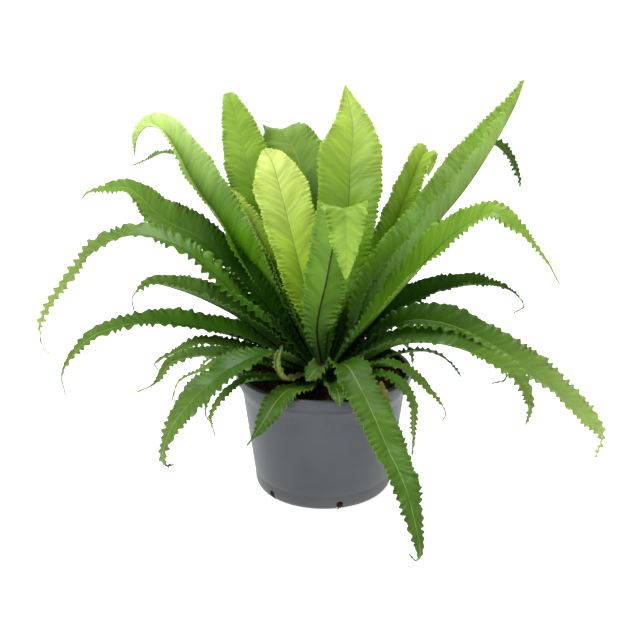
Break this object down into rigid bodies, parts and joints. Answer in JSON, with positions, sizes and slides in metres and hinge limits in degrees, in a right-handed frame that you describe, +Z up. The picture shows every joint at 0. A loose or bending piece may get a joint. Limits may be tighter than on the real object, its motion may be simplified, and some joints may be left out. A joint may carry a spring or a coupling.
{
  "type": "potted birds nest fern",
  "caption": "Birds nest fern with long crisped, wavy-edged fronds in a rosette, growing in the soil of a round tapered nursery pot.",
  "frame": {"origin": "centre of the pot's flat underside", "axes": "+Z up along the pot's axis, -Y to the front of the plant as pictured, +X to its right"},
  "size_m": [0.7483, 0.5967, 0.5483],
  "materials": {
    "pot_plastic": "satin moulded polypropylene",
    "soil": "moist fibrous peat and coir",
    "crown": "brown papery scales over a rootstock",
    "bright_frond": "waxy young leaf",
    "green_frond": "waxy leaf",
    "dark_frond": "waxy older leaf",
    "withered_frond": "dry withered leaf"
  },
  "bodies": {
    "root": {"nursery_pot": "pot_plastic", "potting_soil": "soil", "crown": "crown", "frond_left_upper_broad": "bright_frond", "frond_left_hidden_tip": "green_frond", "frond_left_crinkled": "bright_frond", "frond_left_folded": "dark_frond", "frond_left_long": "bright_frond", "frond_left_dark": "dark_frond", "frond_left_low_arch": "dark_frond", "frond_left_low_short": "dark_frond", "frond_left_brown_keel": "green_frond", "frond_left_narrow": "dark_frond", "frond_front_left_broad": "bright_frond", "frond_front_left_small": "bright_frond", "frond_front_left_dark": "dark_frond", "frond_front_olive": "green_frond", "frond_withered_upright": "withered_frond", "frond_front_short": "bright_frond", "frond_front_ruffled_bit": "bright_frond", "frond_front_big": "green_frond", "frond_withered_front": "withered_frond", "frond_front_right_hanging": "dark_frond", "frond_front_right_olive": "green_frond", "frond_centre_folded_tip": "green_frond", "frond_right_bright_broad": "bright_frond", "frond_right_keeled": "green_frond", "frond_right_long_broad": "green_frond", "frond_right_small": "green_frond", "frond_right_thin_curl": "dark_frond", "frond_right_tall": "bright_frond", "frond_right_dark_arch": "dark_frond", "frond_right_dried_tip": "withered_frond", "frond_right_drooping_tip": "dark_frond", "frond_back_right_curled": "bright_frond", "frond_centre_tall": "bright_frond", "frond_centre_pale": "bright_frond", "frond_back_left_tall": "green_frond", "frond_back_dark": "dark_frond", "frond_far_1": "green_frond", "frond_far_2": "green_frond", "frond_far_3": "dark_frond", "frond_far_4": "green_frond", "frond_far_5": "dark_frond", "frond_far_6": "green_frond", "frond_far_7": "dark_frond", "frond_far_8": "dark_frond", "frond_far_9": "bright_frond", "frond_far_10": "bright_frond", "frond_far_low_1": "dark_frond", "frond_far_low_2": "green_frond", "frond_far_low_3": "dark_frond", "frond_far_low_4": "bright_frond", "frond_far_low_5": "dark_frond", "frond_far_low_6": "green_frond", "frond_far_low_7": "dark_frond", "frond_far_low_8": "green_frond"}
  },
  "joints": []
}
